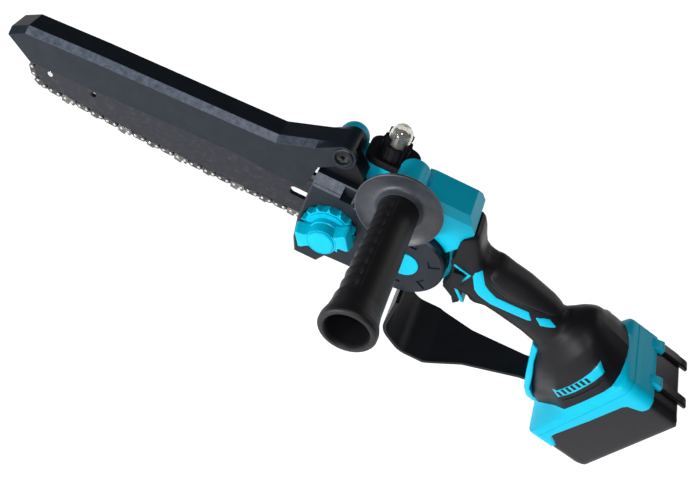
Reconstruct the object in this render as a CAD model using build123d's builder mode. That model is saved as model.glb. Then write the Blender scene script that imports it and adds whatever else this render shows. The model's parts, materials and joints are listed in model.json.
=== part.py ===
from build123d import *
import os
from math import atan2, cos, degrees, hypot, pi, radians, sin

os.makedirs("parts", exist_ok=True)

# Cordless pruning saw, in millimetres. It is laid out about the bar stud: X runs along the
# guide bar towards the battery, Y across the saw with the cover on the -Y side, and Z up.

# driving dimensions
nose_x = -248.7           # centre of the bar's nose sprocket
drive_x = 64.3            # motor and drive sprocket axis
chain_pitch = 6.35        # rivet to rivet
sprocket_teeth = 8
crest_height = 23.0       # rivet line at the widest place of the bar
rail_drop = 2.9           # rivet line down to the bar's rail
bar_thickness = 4.0
bar_tail_x = 36.0
groove_width = 1.5
groove_depth = 6.2
stud_radius = 4.0
cover_face = -22.0        # outer face of the sprocket cover
cover_back = -5.5
cover_front_x = -24.3
cover_hood = 34.0         # length of the raised top behind the guard
wheel_seat = -18.0        # bottom of the round seat for the tension wheel
wheel_face = -26.6
knob_face = -40.6
plate_front = 4.6         # housing plate behind the chain
plate_back = 9.0
motor_right = 46.0        # open end of the motor housing
housing_radius = 36.0
pivot_x, pivot_z = -11.0, 62.5
aux_x, aux_z = 40.8, 62.0
aux_end = -153.0
oil_cap_x, oil_cap_y = -12.0, 27.0
primer_x, primer_y = 20.0, 24.0
battery_x, battery_z = 247.8, -55.2    # centre of the battery's mating plane
grip_tilt = 13.8                       # handle slopes down towards the battery
battery_length = 114.0
battery_width = 75.0
battery_depth = 52.0
shell_wall = 2.6
gap = 0.3                              # air between pieces that move past each other

back = Vector(cos(radians(grip_tilt)), 0, -sin(radians(grip_tilt)))
rise = Vector(sin(radians(grip_tilt)), 0, cos(radians(grip_tilt)))
battery_centre = Vector(battery_x, 0, battery_z)

pieces = {}


def side(y):
    """Upright plane across Y: sketches read x, z and extrude towards -Y."""
    return Plane.XZ.offset(-y)


def tilted(y):
    """Upright plane in line with the grip: sketches read distance back and rise."""
    return Plane(battery_centre + Vector(0, y, 0), x_dir=back, z_dir=(0, -1, 0))


def across(distance):
    """Plane square to the grip: sketches read rise and -Y."""
    return Plane(battery_centre + back * distance, x_dir=rise, z_dir=back)


def level(z):
    return Plane.XY.offset(z)


# ---------------------------------------------------------------- chain loop
pitch_radius = sprocket_teeth * 2 * chain_pitch / (2 * pi)
half_span = (drive_x - nose_x) / 2
crest_x = (drive_x + nose_x) / 2
sagitta = crest_height - pitch_radius
crest_radius = (half_span**2 + sagitta**2) / (2 * sagitta) + pitch_radius
crest_drop = crest_radius - crest_height


def tangent_point(wheel_x, inset):
    """Where the crest arc, moved in by inset, runs on to a wheel's arc."""
    reach = hypot(wheel_x - crest_x, crest_drop)
    step = (pitch_radius - inset) / reach
    return (wheel_x + (wheel_x - crest_x) * step, crest_drop * step)


def loop_outline(inset):
    """The four arcs of the chain's rivet line, moved in by inset, inside a BuildLine."""
    nose_top = tangent_point(nose_x, inset)
    drive_top = tangent_point(drive_x, inset)
    nose_low = (nose_top[0], -nose_top[1])
    drive_low = (drive_top[0], -drive_top[1])
    ThreePointArc(nose_top, (crest_x, crest_height - inset), drive_top)
    ThreePointArc(drive_top, (drive_x + pitch_radius - inset, 0), drive_low)
    ThreePointArc(drive_low, (crest_x, inset - crest_height), nose_low)
    ThreePointArc(nose_low, (nose_x - pitch_radius + inset, 0), nose_top)


with BuildLine(Plane.XZ) as rivet_line:
    loop_outline(0)
chain_loop = rivet_line.wire()
rivet_count = 4 * round(chain_loop.length / chain_pitch / 4)
rivet_step = chain_loop.length / rivet_count
rivets_at = [
    chain_loop.position_at(i * rivet_step, position_mode=PositionMode.LENGTH)
    for i in range(rivet_count)
]


def link_place(i):
    """Place of the link between rivets i and i+1: x along the chain, z outwards."""
    start = rivets_at[i % rivet_count]
    end = rivets_at[(i + 1) % rivet_count]
    middle = (start + end) / 2
    angle = degrees(atan2(end.Z - start.Z, end.X - start.X))
    return Location((middle.X, 0, middle.Z), (0, -angle, 0))


link_half = 2.4
link_thick = 1.2
strap_inner = 0.68
strap_thick = 1.25
rivet_radius = 1.2
rivet_clear = 0.12
link_length = chain_pitch + 2 * link_half
tang_reach = 6.2          # rivet line to the tip of a drive link's tang
star_radius = 9.3         # sprocket teeth end just inside the tangs, since the chain stands still
rim_radius = 13.0         # drive sprocket's side rims, which carry the straps


def rivet_holes():
    with Locations((-chain_pitch / 2, 0), (chain_pitch / 2, 0)):
        Circle(rivet_radius + rivet_clear, mode=Mode.SUBTRACT)


with BuildPart() as one_drive_link:
    with BuildSketch(Plane.XZ):
        SlotOverall(link_length, 2 * link_half)
        with BuildLine():
            Polyline(
                (-2.3, -1.5), (2.3, -1.5), (1.0, -tang_reach), (-0.7, -tang_reach), (-2.3, -1.5),
            )
        make_face()
        rivet_holes()
    extrude(amount=link_thick / 2, both=True)

with BuildPart() as one_strap:
    with BuildSketch(Plane.XZ):
        SlotOverall(link_length, 2 * link_half)
        rivet_holes()
    extrude(amount=strap_thick)

with BuildPart() as one_cutter:
    with BuildSketch(Plane.XZ):
        with BuildLine():
            Polyline(
                (-5.5, -2.4), (5.5, -2.4), (6.1, 0), (5.6, 3.7), (-0.4, 4.7), (-1.2, 1.5),
                (-2.3, 1.4), (-3.1, 3.3), (-5.0, 3.5), (-6.1, 0.4), (-5.5, -2.4),
            )
        make_face()
        rivet_holes()
    extrude(amount=strap_thick)
    with BuildSketch(Plane.XZ.offset(-1.9)):
        with BuildLine():
            Polyline((-0.5, 3.5), (5.6, 2.6), (5.6, 3.7), (-0.4, 4.7), (-0.5, 3.5))
        make_face()
    extrude(amount=3.2)

left_strap = Location((0, -strap_inner, 0))
right_strap = Location((0, strap_inner + strap_thick, 0))
mirrored_cutter = mirror(one_cutter.part, about=Plane.XZ)
left_cutter_part = one_cutter.part.moved(left_strap)
right_cutter_part = mirrored_cutter.moved(Location((0, strap_inner, 0)))
left_strap_part = one_strap.part.moved(left_strap)
right_strap_part = one_strap.part.moved(right_strap)

link_numbers = range(rivet_count // 2)
drive_places = [link_place(2 * i) for i in link_numbers]
strap_places = [link_place(2 * i + 1) for i in link_numbers]
left_tie_places = [strap_places[i] for i in link_numbers if i % 4 != 0]
right_tie_places = [strap_places[i] for i in link_numbers if i % 4 != 2]

pieces["drive_links"] = Compound([one_drive_link.part.moved(p) for p in drive_places])
pieces["tie_straps"] = Compound(
    [left_strap_part.moved(p) for p in left_tie_places]
    + [right_strap_part.moved(p) for p in right_tie_places]
)
pieces["cutters"] = Compound(
    [left_cutter_part.moved(p) for p in strap_places[::4]]
    + [right_cutter_part.moved(p) for p in strap_places[2::4]]
)
with BuildPart() as one_rivet:
    with BuildSketch(side(2.2)):
        Circle(rivet_radius)
    extrude(amount=4.4)
pieces["chain_rivets"] = Compound(
    [one_rivet.part.moved(Location((p.X, 0, p.Z))) for p in rivets_at]
)

# ---------------------------------------------------------------- guide bar
slot_front, slot_back = -41.4, 12.0
with BuildPart() as guide_bar:
    with BuildSketch(Plane.XZ):
        with BuildLine():
            loop_outline(rail_drop)
        make_face()
        with Locations((bar_tail_x + 30, 0)):
            Rectangle(60, 60, mode=Mode.SUBTRACT)
        with Locations(((slot_front + slot_back) / 2, 0)):
            SlotOverall(slot_back - slot_front, 2 * stud_radius + 0.4, mode=Mode.SUBTRACT)
        with Locations((24, 9), (24, -9), (-211.6, 0)):
            Circle(2.5, mode=Mode.SUBTRACT)
    extrude(amount=bar_thickness / 2, both=True)
    fillet(guide_bar.edges().filter_by(Axis.Y).sort_by(Axis.X)[-2:], 4)
    with BuildSketch(Plane.XZ):
        with BuildLine():
            loop_outline(rail_drop - 1)
        make_face()
        with BuildLine():
            loop_outline(rail_drop + groove_depth)
        make_face(mode=Mode.SUBTRACT)
        with Locations((nose_x, 0)):
            Circle(13.9)
    extrude(amount=groove_width / 2, both=True, mode=Mode.SUBTRACT)
    with BuildSketch(Plane.XZ):
        with Locations((nose_x, 0)):
            Circle(2.2)
    extrude(amount=bar_thickness / 2, both=True, mode=Mode.SUBTRACT)
pieces["guide_bar"] = guide_bar


def strap_angle(wheel_x):
    """Direction, seen from a wheel's centre, of a drive link that lies on that wheel."""
    spots = [p.position for p in drive_places]
    near = min(spots, key=lambda p: abs(hypot(p.X - wheel_x, p.Z) - pitch_radius) + abs(p.Z) / 50)
    return degrees(atan2(near.Z, near.X - wheel_x))


def star_wheel(wheel_x, bore):
    """Sketch of a sprocket with a notch for each drive link's tang."""
    with Locations((wheel_x, 0)):
        Circle(star_radius)
        Circle(bore, mode=Mode.SUBTRACT)
        with PolarLocations(0, sprocket_teeth, start_angle=strap_angle(wheel_x)):
            Polygon((7, -1.2), (10, -2.2), (10, 2.2), (7, 1.2), align=None, mode=Mode.SUBTRACT)


with BuildPart() as nose_sprocket:
    with BuildSketch(Plane.XZ):
        star_wheel(nose_x, 2.25)
    extrude(amount=0.6, both=True)
pieces["nose_sprocket"] = nose_sprocket

with BuildPart() as nose_rivets:
    with BuildSketch(side(bar_thickness / 2 + 0.3)):
        with Locations((nose_x, 0)):
            Circle(2.2)
    extrude(amount=bar_thickness + 0.6)
pieces["nose_rivets"] = nose_rivets

# ---------------------------------------------------------------- motor and drive
with BuildPart() as drive_sprocket:
    with BuildSketch(Plane.XZ):
        star_wheel(drive_x, 4)
    extrude(amount=0.8, both=True)
    with BuildSketch(side(-0.8), side(2.6)):
        with Locations((drive_x, 0)):
            Circle(rim_radius)
            Circle(4, mode=Mode.SUBTRACT)
    extrude(amount=1.8)
    with BuildSketch(side(-2.6), side(4.2)):
        with Locations((drive_x, 0)):
            Circle(6.5)
            Circle(4, mode=Mode.SUBTRACT)
    extrude(amount=1.6)
pieces["drive_sprocket"] = drive_sprocket

with BuildPart() as motor_shaft:
    with BuildSketch(side(43.5)):
        with Locations((drive_x, 0)):
            Circle(4)
    extrude(amount=51)
    chamfer(motor_shaft.edges().filter_by(GeomType.CIRCLE), 0.5)
pieces["motor_shaft"] = motor_shaft


def ring(y, length, outer, inner, x=drive_x, z=0.0):
    """Tube about an axis along Y, from y towards -Y."""
    with BuildPart() as tube:
        with BuildSketch(side(y)):
            with Locations((x, z)):
                Circle(outer)
                Circle(inner, mode=Mode.SUBTRACT)
        extrude(amount=length)
    return tube


pieces["motor_rotor"] = ring(35, 20, 16.5, 4)
with BuildPart() as motor_stator:
    with BuildSketch(side(35)):
        with Locations((drive_x, 0)):
            Circle(32.9)
            Circle(17.2, mode=Mode.SUBTRACT)
            with PolarLocations(23.5, 12):
                SlotOverall(9, 3.4, mode=Mode.SUBTRACT)
    extrude(amount=20)
pieces["motor_stator"] = motor_stator

with BuildPart() as cooling_fan:
    with BuildSketch(side(41.5)):
        with Locations((drive_x, 0)):
            Circle(28)
            Circle(4, mode=Mode.SUBTRACT)
    extrude(amount=1.2)
    with BuildSketch(side(40.3)):
        with Locations((drive_x, 0)):
            with PolarLocations(19, 14):
                Rectangle(16, 1.4)
    extrude(amount=4)
pieces["cooling_fan"] = cooling_fan

with BuildPart() as motor_bearings:
    with BuildSketch(side(13.6), side(46)):
        with Locations((drive_x, 0)):
            Circle(8)
            Circle(4.03, mode=Mode.SUBTRACT)
    extrude(amount=4.4)
pieces["motor_bearings"] = motor_bearings

# ---------------------------------------------------------------- motor housing
cover_ring = 32.4
with BuildPart() as motor_housing:
    with BuildSketch(side(motor_right)):
        with Locations((drive_x, 0)):
            Circle(housing_radius)
    extrude(amount=motor_right - plate_front - 1.6)
    fillet(motor_housing.edges().group_by(Axis.Y)[-1], 2)
    with BuildSketch(side(8)):
        with Locations((drive_x, 0)):
            Circle(housing_radius)
        with Locations((drive_x - 23, 0)):
            Rectangle(50, 80, mode=Mode.SUBTRACT)
    extrude(amount=15)
    with BuildSketch(side(26)):
        with BuildLine():
            Polyline(
                (50, 24), (51, 58), (55, 62), (90, 62), (99, 52), (100, 40), (88, 22), (50, 24)
            )
        make_face()
    extrude(amount=40)
    chamfer(motor_housing.edges().filter_by(Axis.X).group_by(Axis.Z)[-1], 5)
    with BuildSketch(side(9)):
        with Locations((aux_x, aux_z)):
            Circle(11.6)
    extrude(amount=39.6)
    with BuildSketch(side(motor_right)):
        with Locations((drive_x, 0)):
            Circle(33)
    extrude(amount=motor_right - 9.2, mode=Mode.SUBTRACT)
    with BuildSketch(side(9.2)):
        with Locations((drive_x, 0)):
            Circle(7)
    extrude(amount=6, mode=Mode.SUBTRACT)
    with BuildSketch(side(6.2)):
        with Locations((drive_x, 0)):
            Circle(cover_ring)
        with Locations((drive_x - 24, 0)):
            Rectangle(50, 65)
    extrude(amount=30, mode=Mode.SUBTRACT)
    with BuildSketch(side(-32)):
        with Locations((aux_x, aux_z)):
            Circle(4)
    extrude(amount=-22, mode=Mode.SUBTRACT)
pieces["motor_housing"] = motor_housing

pieces["bearing_carrier"] = ring(14, 4.7, 32.9, 8.05)

with BuildPart() as motor_end_cap:
    with BuildSketch(side(motor_right + 4)):
        with Locations((drive_x, 0)):
            Circle(housing_radius - 0.5)
    extrude(amount=3.9)
    chamfer(motor_end_cap.edges().group_by(Axis.Y)[-1], 2)
    with BuildSketch(side(motor_right + 4)):
        with Locations((drive_x, 0)):
            with PolarLocations(22, 16):
                SlotOverall(14, 2.6)
    extrude(amount=4, mode=Mode.SUBTRACT)
    with BuildSketch(side(motor_right + 0.1)):
        with Locations((drive_x, 0)):
            Circle(11)
            Circle(8.05, mode=Mode.SUBTRACT)
    extrude(amount=4)
pieces["motor_end_cap"] = motor_end_cap

with BuildPart() as end_cap_screws:
    with BuildSketch(side(motor_right + 5.2)):
        with Locations((drive_x, 0)):
            with PolarLocations(31.5, 4, start_angle=45):
                Circle(2.4)
                RegularPolygon(1.2, 6, mode=Mode.SUBTRACT)
    extrude(amount=1.2)
pieces["end_cap_screws"] = end_cap_screws

# ---------------------------------------------------------------- bar plate and cover
cover_outline = [
    (-24.5, 35), (-25.5, -6), (-23, -28), (-18.5, -42), (1, -42), (6, -32.5), (24, -31.5),
    (drive_x, -31.5), (drive_x, 31), (12, 31), (10, 35), (-24.5, 35),
]
front_outline = [
    (-24.5, 35), (-25.5, -6), (-23, -28), (-18.5, -42), (1, -42), (6, -32.5), (24, -31.5),
    (40, -31.5), (40, 31), (12, 31), (10, 35), (-24.5, 35),
]


def flat_outline(points, inset=0.0, mode=Mode.ADD):
    Polygon(*points[:-1], align=None, mode=mode)
    if inset:
        offset(amount=-inset, kind=Kind.INTERSECTION)


with BuildPart() as bar_plate:
    with BuildSketch(side(plate_back)):
        flat_outline(front_outline)
        with Locations((drive_x, 0)):
            Circle(housing_radius + 0.2, mode=Mode.SUBTRACT)
    extrude(amount=plate_back - plate_front)
    with BuildSketch(side(plate_front)):
        Rectangle(40, 24)
    extrude(amount=plate_front - bar_thickness / 2 - 0.05)
    with BuildSketch(side(plate_front)):
        flat_outline(front_outline)
        with Locations((-6, 0)):
            Rectangle(120, 58, mode=Mode.SUBTRACT)
        with BuildLine():
            Polyline((-60, -45), (-20, -39.6), (-0.5, -39.6), (4.6, -29), (-60, -29), (-60, -45))
        make_face(mode=Mode.SUBTRACT)
        with Locations((drive_x, 0)):
            Circle(housing_radius + 0.2, mode=Mode.SUBTRACT)
    extrude(amount=plate_front - cover_back - 0.1)
    with BuildSketch(side(plate_back)):
        Circle(stud_radius)
        with Locations((24, 9)):
            Circle(1.6)
    extrude(amount=20, mode=Mode.SUBTRACT)
pieces["bar_plate"] = bar_plate

with BuildPart() as bar_stud:
    with BuildSketch(side(plate_back)):
        Circle(stud_radius - 0.03)
    extrude(amount=plate_back + 36)
pieces["bar_stud"] = bar_stud

with BuildPart() as sprocket_cover:
    with BuildSketch(side(cover_back)):
        flat_outline(cover_outline)
        with Locations((drive_x, 0)):
            Circle(31.5)
    extrude(amount=cover_back - cover_face)
    chamfer(sprocket_cover.faces().sort_by(Axis.Y)[0].edges(), 1.6)
    with BuildSketch(side(cover_back)):
        flat_outline(cover_outline, inset=shell_wall)
        with Locations((drive_x, 0)):
            Circle(31.5 - shell_wall)
    extrude(amount=cover_back - cover_face - 3, mode=Mode.SUBTRACT)
    with BuildSketch(side(-bar_thickness / 2 - 0.05)):
        Rectangle(36, 24)
    extrude(amount=-cover_face - bar_thickness / 2 - 2)
    with BuildSketch(Plane.YZ.offset(cover_front_x)):
        Polygon(
            (cover_face + 1, 31), (cover_face + 1, 34), (cover_face + 8, 41), (-8.3, 41),
            (-8.3, 33), align=None,
        )
    extrude(amount=cover_hood)
    with Locations((3.6, cover_face + 3, 37)):
        Box(9.2, 8, 10, mode=Mode.SUBTRACT)
    with BuildSketch(side(wheel_seat + 3)):
        Circle(24.2)
    extrude(amount=wheel_seat + 3 - cover_face)
    with BuildSketch(side(cover_face)):
        Circle(22.5)
    extrude(amount=cover_face - wheel_seat, mode=Mode.SUBTRACT)
    with BuildSketch(side(cover_face)):
        with Locations((drive_x, 0)):
            Circle(11.4)
    extrude(amount=-1.2, mode=Mode.SUBTRACT)
    with BuildSketch(side(cover_face)):
        with Locations((drive_x, 0)):
            with PolarLocations(23.5, 6, start_angle=30):
                Polygon(
                    (-4.5, 4), (-4.5, -3), (4.5, -3), (4.5, -1.2), (-2.7, -1.2), (-2.7, 4),
                    align=None,
                )
    extrude(amount=-1.2, mode=Mode.SUBTRACT)
    with BuildSketch(side(0)):
        Circle(stud_radius + 0.3)
    extrude(amount=30, mode=Mode.SUBTRACT)
pieces["sprocket_cover"] = sprocket_cover

with BuildPart() as cover_badge:
    with BuildSketch(side(cover_face + 1.15)):
        with Locations((drive_x, 0)):
            Circle(11.2)
    extrude(amount=1.9)
    fillet(cover_badge.edges().group_by(Axis.Y)[0], 0.5)
pieces["cover_badge"] = cover_badge

# ---------------------------------------------------------------- tension wheel and knob
knob_turn = 34.0
with BuildPart() as tension_wheel:
    with BuildSketch(side(wheel_seat - gap)):
        Circle(18.8)
        with PolarLocations(19.6, 14):
            Trapezoid(4.4, 4.6, 68, rotation=-90)
        Circle(stud_radius + 0.3, mode=Mode.SUBTRACT)
    extrude(amount=wheel_seat - gap - wheel_face - 1)
    with BuildSketch(side(wheel_face + 1)):
        Circle(17.4)
        Circle(stud_radius + 0.3, mode=Mode.SUBTRACT)
    extrude(amount=1)
pieces["tension_wheel"] = tension_wheel

with BuildPart() as tension_knob:
    with BuildSketch(side(wheel_face - gap)):
        Circle(13.5)
    extrude(amount=4)
    with BuildSketch(side(wheel_face - gap - 3)):
        with Locations(Rotation(0, 0, knob_turn)):
            SlotOverall(46, 15)
    extrude(amount=7.5)
    fillet(tension_knob.edges().group_by(Axis.Y)[0], 1.5)
    with BuildSketch(side(wheel_face - gap)):
        Circle(10.8)
    extrude(amount=wheel_face - gap - knob_face)
    fillet(tension_knob.faces().sort_by(Axis.Y)[0].edges(), 1.2)
    with BuildSketch(side(0)):
        Circle(stud_radius + 0.05)
    extrude(amount=36.6, mode=Mode.SUBTRACT)
pieces["tension_knob"] = tension_knob

# ---------------------------------------------------------------- chain guard
guard_half = 13.5
guard_flat = 8.7          # half width of the flat top between the bevels
guard_bevel = 4.8
guard_top = [(-277, 35), (-263, 43), (-206, 46.5), (-93, 51), (-61, 52.5), (-32, 64.5)]
guard_low = [(-30, 18.6), (-48, 17.6), (-84, 20.5), (-200, 15.6), (-259, 14)]
lobe = 10.0
lobe_top = (pivot_x - 3, pivot_z + 9.5)
lobe_back = (pivot_x + lobe, pivot_z)
lobe_low = (pivot_x - 2, pivot_z - 9.8)


with BuildPart() as chain_guard:
    for y_from, drop_from, y_to, drop_to in (
        (-guard_flat, 0, guard_flat, 0),
        (guard_flat, 0, guard_half, guard_bevel),
        (-guard_half, guard_bevel, -guard_flat, 0),
    ):
        for y, drop in ((y_from, drop_from), (y_to, drop_to)):
            with BuildSketch(side(y)):
                with BuildLine():
                    Polyline(*[(x, z - drop) for x, z in guard_top], lobe_top)
                    ThreePointArc(lobe_top, lobe_back, lobe_low)
                    Polyline(lobe_low, (-25, 44), *guard_low, (guard_top[0][0], guard_top[0][1] - drop))
                make_face()
        loft(ruled=True)
    with BuildSketch(side(8.2)):
        with BuildLine():
            Polyline(
                (-290, 26), (-266, 30), (-262, 39.4), (-206, 43.2), (-93, 47.7), (-61.5, 49.2),
                (-32, 61.2), (-13, 69.3), (10, 72), (10, 40), (-20, 40), (-20, 0), (-290, 0),
                (-290, 26),
            )
        make_face()
    extrude(amount=16.4, mode=Mode.SUBTRACT)
    with BuildSketch(side(10.8)):
        with BuildLine():
            Polyline(
                (-290, 22), (-266, 26), (-255, 36), (-93, 43.5), (-61, 45), (-50, 45), (-44, 0),
                (-290, 0), (-290, 22),
            )
        make_face()
    extrude(amount=21.6, mode=Mode.SUBTRACT)
    with BuildSketch(side(guard_half)):
        with Locations((pivot_x, pivot_z)):
            Circle(3.3)
    extrude(amount=2 * guard_half, mode=Mode.SUBTRACT)
    with BuildSketch(side(guard_half), side(-guard_half + 2.6)):
        with Locations((pivot_x, pivot_z)):
            Circle(5.4)
    extrude(amount=2.6, mode=Mode.SUBTRACT)
pieces["chain_guard"] = chain_guard

with BuildPart() as guard_screws:
    for direction in (-1, 1):
        with BuildSketch(side(direction * 7.9)):
            with Locations((pivot_x, pivot_z)):
                Circle(3.2)
        extrude(amount=-direction * 3.1)
        with BuildSketch(side(direction * 11)):
            with Locations((pivot_x, pivot_z)):
                Circle(5.1)
                RegularPolygon(1.9, 6, mode=Mode.SUBTRACT)
        extrude(amount=-direction * 2)
pieces["guard_screws"] = guard_screws

with BuildPart() as guard_bracket:
    with BuildSketch(side(7.8)):
        with BuildLine():
            Polyline((-24, 35.1), (-24, 44), (-17, 62), (-5, 62), (9, 48), (9, 35.1), (-24, 35.1))
        make_face()
        with Locations((pivot_x, pivot_z)):
            Circle(6)
    extrude(amount=15.6)
pieces["guard_bracket"] = guard_bracket

# ---------------------------------------------------------------- oil tank, cap and primer
tank_outline = [
    (-24, 43.5), (4, 43.5), (7, 50), (44, 50), (46, 46), (46, 38.5), (30, 24), (26, 8),
    (24, -14), (-14, -14), (-24, 0), (-24, 43.5),
]
with BuildPart() as oil_tank:
    with BuildSketch(side(40)):
        flat_outline(tank_outline)
    extrude(amount=30.8)
    fillet(oil_tank.edges().group_by(Axis.Y)[-1], 3)
    with BuildSketch(side(37.4)):
        flat_outline(tank_outline, inset=shell_wall)
    extrude(amount=25.6, mode=Mode.SUBTRACT)
    with BuildSketch(level(30)):
        with Locations((oil_cap_x, oil_cap_y)):
            Circle(7)
    extrude(amount=20, mode=Mode.SUBTRACT)
pieces["oil_tank"] = oil_tank

with BuildPart() as oil_cap:
    with BuildSketch(Plane.XZ.offset(-oil_cap_y)):
        with BuildLine():
            Line((oil_cap_x, 48), (oil_cap_x, 63.5))
            ThreePointArc((oil_cap_x, 63.5), (oil_cap_x + 8.4, 60), (oil_cap_x + 12, 52))
            Polyline(
                (oil_cap_x + 12, 52), (oil_cap_x + 12, 43.8), (oil_cap_x + 6.6, 43.8),
                (oil_cap_x + 6.6, 38), (oil_cap_x + 4.6, 38), (oil_cap_x + 4.6, 48),
                (oil_cap_x, 48),
            )
        make_face()
    revolve(axis=Axis((oil_cap_x, oil_cap_y, 0), (0, 0, 1)))
pieces["oil_cap"] = oil_cap

with BuildPart() as oil_tube:
    with BuildLine():
        tube_route = FilletPolyline((10, 20, -14.1), (10, 20, -24), (10, 11.5, -24), radius=4)
    with BuildSketch(Plane(tube_route @ 0, z_dir=tube_route % 0)):
        Circle(2)
        Circle(1.1, mode=Mode.SUBTRACT)
    sweep()
pieces["oil_tube"] = oil_tube

with BuildPart() as pump_flange:
    with BuildSketch(level(50.1)):
        with Locations((primer_x + 1.5, primer_y)):
            RectangleRounded(41, 30, 10)
        with Locations((primer_x, primer_y)):
            Circle(6, mode=Mode.SUBTRACT)
    extrude(amount=5.9)
    fillet(pump_flange.edges().group_by(Axis.Z)[-1], 0.8)
pieces["pump_flange"] = pump_flange

collar_bottom, collar_top = 56.1, 68.0
with BuildPart() as primer_collar:
    with BuildSketch(level(collar_bottom)):
        with Locations((primer_x, primer_y)):
            Circle(10.8)
            with PolarLocations(10.8, 16):
                Rectangle(1.8, 2.2)
            Circle(9.2, mode=Mode.SUBTRACT)
    extrude(amount=collar_top - collar_bottom)
    with BuildSketch(level(collar_bottom)):
        with Locations((primer_x, primer_y)):
            Circle(10)
            Circle(5, mode=Mode.SUBTRACT)
    extrude(amount=2)
    with BuildSketch(level(collar_top)):
        with Locations((primer_x, primer_y)):
            with PolarLocations(10.6, 4, start_angle=45):
                Rectangle(2, 4.5)
    extrude(amount=5)
pieces["primer_collar"] = primer_collar

bulb_radius = 8.6
bulb_centre = 75.5
bulb_foot = 63.5          # leaves room to press the bulb down
with BuildPart() as primer_bulb:
    with BuildSketch(Plane.XZ.offset(-primer_y)):
        with BuildLine():
            Line((primer_x, bulb_foot), (primer_x, bulb_centre + bulb_radius))
            ThreePointArc(
                (primer_x, bulb_centre + bulb_radius),
                (primer_x + bulb_radius * cos(radians(45)), bulb_centre + bulb_radius * sin(radians(45))),
                (primer_x + bulb_radius, bulb_centre),
            )
            Polyline(
                (primer_x + bulb_radius, bulb_centre), (primer_x + bulb_radius, bulb_foot),
                (primer_x, bulb_foot),
            )
        make_face()
    revolve(axis=Axis((primer_x, primer_y, 0), (0, 0, 1)))
pieces["primer_bulb"] = primer_bulb

# ---------------------------------------------------------------- auxiliary handle
shield_y = -31.5
with BuildPart() as hand_shield:
    with BuildSketch(Plane.XY.offset(aux_z)):
        with BuildLine():
            Polyline(
                (aux_x + 5, shield_y), (aux_x + 22, shield_y), (aux_x + 32.2, shield_y - 4.5),
                (aux_x + 32.2, shield_y - 7), (aux_x + 30.8, shield_y - 7), (aux_x + 21, shield_y - 3),
                (aux_x + 5, shield_y - 3), (aux_x + 5, shield_y),
            )
        make_face()
    revolve(axis=Axis((aux_x, 0, aux_z), (0, 1, 0)))
pieces["hand_shield"] = hand_shield

grip_root = shield_y - 3.2
with BuildPart() as aux_grip:
    with BuildSketch(Plane.XY.offset(aux_z)):
        with BuildLine():
            Polyline(
                (aux_x + 5, grip_root), (aux_x + 15.5, grip_root), (aux_x + 15.0, grip_root - 16),
                (aux_x + 15.8, grip_root - 60), (aux_x + 16.2, aux_end + 10),
                (aux_x + 19.2, aux_end + 8), (aux_x + 19.2, aux_end + 1.5),
                (aux_x + 17.6, aux_end), (aux_x + 14.4, aux_end), (aux_x + 13.6, aux_end + 2),
                (aux_x + 12.2, grip_root - 26), (aux_x + 5, grip_root - 26), (aux_x + 5, grip_root),
            )
        make_face()
    revolve(axis=Axis((aux_x, 0, aux_z), (0, 1, 0)))
pieces["aux_grip"] = aux_grip

with BuildPart() as aux_stud:
    with BuildSketch(side(-11)):
        with Locations((aux_x, aux_z)):
            Circle(3.95)
    extrude(amount=56.5)
    with BuildSketch(side(grip_root - 26.1)):
        with Locations((aux_x, aux_z)):
            RegularPolygon(7.5, 6)
    extrude(amount=6)
pieces["aux_stud"] = aux_stud

# ---------------------------------------------------------------- handle and foot
# distance back, lowest rise, highest rise, half width
grip_sections = [
    (-150, 0, 41, 17.5), (-128, 7, 49, 17), (-105, 10, 52.5, 16.5), (-80, 10, 52.5, 16),
    (-62, 9, 50.5, 17),
]
foot_sections = [
    (-62, 9, 50.5, 17), (-45, -18, 58, 25), (-27, -40, 60, 33), (-9, -53, 57.3, 36.4),
]


def tube(sections, wall):
    """Closed loft through sections, each drawn in by wall."""
    with BuildPart() as body:
        for distance, low, high, half_width in sections:
            tall = high - low - 2 * wall
            wide = 2 * (half_width - wall)
            with BuildSketch(across(distance)):
                with Locations(((low + high) / 2, 0)):
                    RectangleRounded(tall, wide, 0.46 * min(tall, wide))
        loft()
    return body.part


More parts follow.
